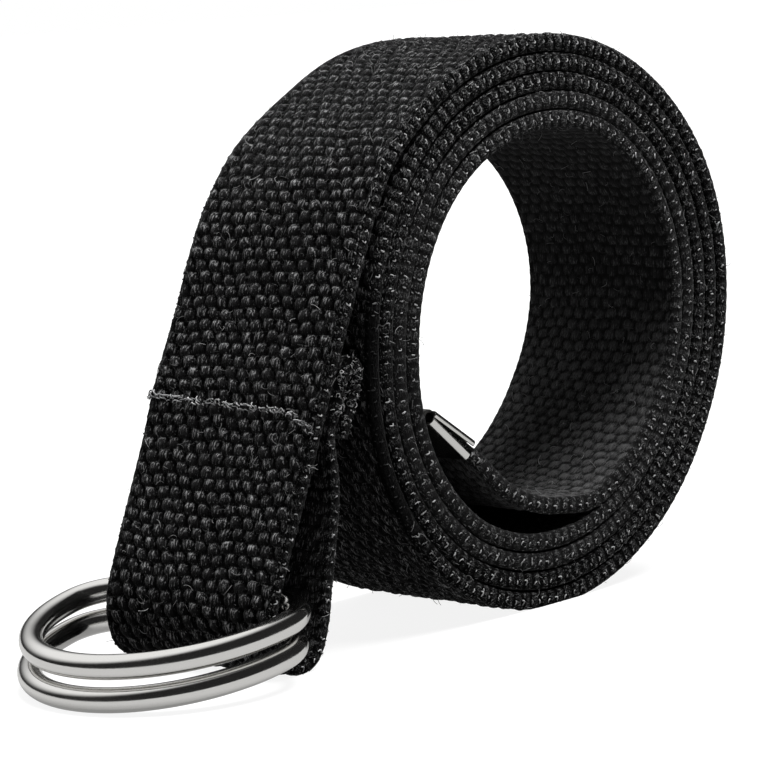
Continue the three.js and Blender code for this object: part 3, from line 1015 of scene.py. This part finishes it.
def metalFinish(name, part):
    f = Finish(name)
    smear = f.noise(f.objectPlace(), metalLook["smearScale"], detail=4.0)
    grain = f.noise(f.objectPlace(), metalLook["grainScale"], detail=2.0)
    rough = (smear - 0.5) * metalLook["smear"] + (grain - 0.5) * metalLook["grain"]
    height = smear * metalLook["smearHeight"] + grain * metalLook["grainHeight"]
    f.set(Base_Color=metalLook[part], Metallic=1.0,
          Roughness=(rough + metalLook[part + "Roughness"]).clamp(),
          Normal=f.bump(metalLook["bump"], metalLook["bumpDistance"], height))
    return f.material


def ringLine():
    # the middle of the wire in the ring's own plane: the bar, a corner, the bow and a corner
    halfWidth, depth, corner = ring["halfWidth"], ring["depth"], ring["corner"]
    straight = halfWidth - corner
    quarter = arc(0, 90, ring["cornerParts"])[:-1]
    bow = arc(0, 180, ring["bowParts"])
    bar = [(v, 0.0) for v in np.linspace(-straight, straight, ring["barParts"] + 1)[1:-1]]
    right = [(straight + corner * math.sin(t), corner * (1 - math.cos(t))) for t in quarter]
    far = [(halfWidth * math.cos(t), corner + (depth - corner) * math.sin(t)) for t in bow]
    left = [(-v, out) for v, out in right[::-1]]
    return np.array(bar + right + far + left)


def wireTree(material):
    g = Growth("bent_wire")
    radius = g.input("Wire Radius")
    sides = g.input("Sides", "Int")
    line = g.node("GeometryNodeMeshToCurve", {0: g.points()})
    profile = g.node("GeometryNodeCurvePrimitiveCircle", {"Resolution": sides, "Radius": radius})
    wire = g.node("GeometryNodeCurveToMesh", {0: line, 1: profile})
    g.finish(g.node("GeometryNodeSetShadeSmooth", {0: wire}), material)
    return g


def makeRing(tree, node, body):
    line = ringLine()
    droop = math.radians(ring["droop"])
    twist = math.radians(endTwist)
    turn = Matrix.Rotation(twist, 3, "Z") @ Matrix.Rotation(-droop, 3, "Y")
    flat = np.stack([-line[:, 1], line[:, 0], np.zeros(len(line))], 1)
    edges = [(k, (k + 1) % len(line)) for k in range(len(line))]
    base = newPiece(node + "_wire", flat @ np.array(turn).T + np.array(bars[node]), edges)
    piece = tree.apply(base, {"Wire Radius": ring["wire"] / 2 * mm, "Sides": ring["sides"]})
    finishPiece(piece, ringMetal, body, node)


ringMetal = metalFinish("polished_ring_nickel", "ring")
bentWire = wireTree(ringMetal)
makeRing(bentWire, "d_ring_upper", "upper_ring")
makeRing(bentWire, "d_ring_lower", "lower_ring")


# The tip: a folded sheet in two jaws, each with a round lip along its edges, and a fold between, painted
# dark for shade

tipForm = {
    "width": 38.2, "length": 11.1, "sheet": 0.6, "upperLip": 1.2, "lowerLip": 1.5,
    "closedHeight": 2.8, "mouthHeight": 4.1, "place": (-30.05, 19.0, 37.8), "slope": -40,
    "round": 0.8, "parts": 6, "foldInset": 1.3, "foldSides": 14, "edge": 0.1, "segments": 2,
    "sharpAngle": 50,
}


def jawOutline(lip):
    # across a jaw: its outer face, a round lip and the inner face, on both sides
    half, sheet, bend = tipForm["width"] / 2, tipForm["sheet"], tipForm["round"]
    quarter = arc(0, 90, tipForm["parts"])
    turn = arc(0, 180, tipForm["parts"])
    right = [(half - bend + bend * math.sin(t), -bend + bend * math.cos(t)) for t in quarter]
    right += [(half - sheet / 2 * (1 - math.cos(t)), -lip + sheet / 2 * (1 - math.sin(t))) for t in turn]
    right.append((half - sheet, -sheet))
    return right + [(-wide, deep) for wide, deep in reversed(right)]


def jawRings(side):
    # the outline at the closed end and at the mouth; the lower jaw is the upper one turned over
    spread = math.atan((tipForm["mouthHeight"] - tipForm["closedHeight"]) / 2 / tipForm["length"])
    outline = jawOutline(tipForm["upperLip" if side > 0 else "lowerLip"])
    rings = []
    for far in (0, tipForm["length"]):
        rings.append([])
        for wide, deep in outline:
            up = deep * math.cos(spread) + far * math.sin(spread) + tipForm["closedHeight"] / 2
            along = far * math.cos(spread) - deep * math.sin(spread)
            rings[-1].append((side * wide, side * up, along))
    return rings


def foldRings():
    # half a tube of the sheet, which joins the jaws
    outer = tipForm["closedHeight"] / 2
    inner = outer - tipForm["sheet"]
    half = tipForm["width"] / 2 - tipForm["foldInset"]
    turn = arc(90, 270, tipForm["foldSides"])
    section = [(outer * math.sin(t), outer * math.cos(t)) for t in turn]
    section += [(inner * math.sin(t), inner * math.cos(t)) for t in reversed(turn)]
    return [[(wide, up, along) for up, along in section] for wide in (-half, half)]


def makeTipPiece(name, shells, material, node=None):
    slope = math.radians(tipForm["slope"])
    along = np.array([math.cos(slope), 0, math.sin(slope)])
    across = np.array([0.0, 1.0, 0.0])
    axes = np.stack([across, np.cross(along, across), along])
    work = bmesh.new()
    for first, last in shells:
        ends = []
        for outline in (first, last):
            spots = (np.array(outline) @ axes + np.array(tipForm["place"]) + shift) * mm
            ends.append([work.verts.new(spot) for spot in spots])
            work.faces.new(ends[-1])
        for k in range(len(first)):
            work.faces.new((ends[0][k - 1], ends[0][k], ends[1][k], ends[1][k - 1]))
    bmesh.ops.recalc_face_normals(work, faces=work.faces)
    mesh = bpy.data.meshes.new(name)
    work.to_mesh(mesh)
    work.free()
    mesh.polygons.foreach_set("use_smooth", np.ones(len(mesh.polygons), bool))
    piece = newObject(name, mesh)
    bevel = piece.modifiers.new("rounded", "BEVEL")
    bevel.width = tipForm["edge"] * mm
    bevel.segments = tipForm["segments"]
    bevel.angle_limit = math.radians(tipForm["sharpAngle"])
    bevel.use_clamp_overlap = False
    bevel.harden_normals = True
    finishPiece(piece, material, "belt", node)


def makeTip():
    metal = metalFinish("polished_tip_nickel", "tip")
    # the fold gets a dark metal: painted shade
    foldShadeMetal = metalFinish("tarnished_tip_fold", "fold")
    makeTipPiece("folded_tip", [jawRings(1), jawRings(-1)], metal, "tip")
    makeTipPiece("folded_tip_bend", [foldRings()], foldShadeMetal)


makeTip()


# The floor and the light: a wide soft light overhead, dark towards the horizon as in a studio

studio = {
    "floor": (0.12, 0.12, 0.12, 1), "floorRoughness": 0.8, "floorSpecular": 0.2, "floorGlow": 0.3,
    "floorSeen": 0.88, "floorReach": 30.0, "overhead": 1.0, "low": 0.02, "axis": (0.0, 0.5, 0.87),
    "lowHeight": 0.56, "overheadHeight": 0.92, "seen": 1.0,
}
sun = {"towards": (0.25, -0.12, 0.95), "strength": 10.0, "angle": 40}


def makeFloor():
    far = studio["floorReach"]
    mesh = bpy.data.meshes.new("floor")
    mesh.from_pydata([(-far, -far, 0), (far, -far, 0), (far, far, 0), (-far, far, 0)], [], [(0, 1, 2, 3)])
    floor = newObject("floor", mesh)
    f = Finish("pale_floor")
    seen = f.node("ShaderNodeLightPath")
    glow = seen * studio["floorSeen"] + (1 - seen) * studio["floorGlow"]
    f.set(Base_Color=studio["floor"], Roughness=studio["floorRoughness"],
          Specular_IOR_Level=studio["floorSpecular"], Emission_Color=glow, Emission_Strength=1.0)
    mesh.materials.append(f.material)


def makeWorld():
    world = bpy.data.worlds.new("studio")
    world.use_nodes = True
    w = Nodes(world.node_tree)
    direction = w.node("ShaderNodeTexCoord")
    height = w.node("ShaderNodeVectorMath", {0: direction, 1: studio["axis"]}, 1, operation="DOT_PRODUCT")
    strength = w.node("ShaderNodeMapRange", {
        0: height, 1: studio["lowHeight"], 2: studio["overheadHeight"], 3: studio["low"],
        4: studio["overhead"]}, interpolation_type="SMOOTHSTEP")
    seen = w.node("ShaderNodeLightPath")
    background = w.tree.nodes["Background"]
    background.inputs["Color"].default_value = (1, 1, 1, 1)
    feed(background.inputs["Strength"], strength * (1 - seen) + seen * studio["seen"])
    bpy.context.scene.world = world


def makeSun():
    data = bpy.data.lights.new("overhead", "SUN")
    data.energy = sun["strength"]
    data.angle = math.radians(sun["angle"])
    lamp = newObject("overhead", data)
    lamp.rotation_euler = (-Vector(sun["towards"])).to_track_quat("-Z", "Y").to_euler()
    lamp.visible_glossy = False  # the metal mirrors only the wide light


makeFloor()
makeWorld()
makeSun()
bpy.context.scene.view_settings.view_transform = "Standard"
print("studio made")
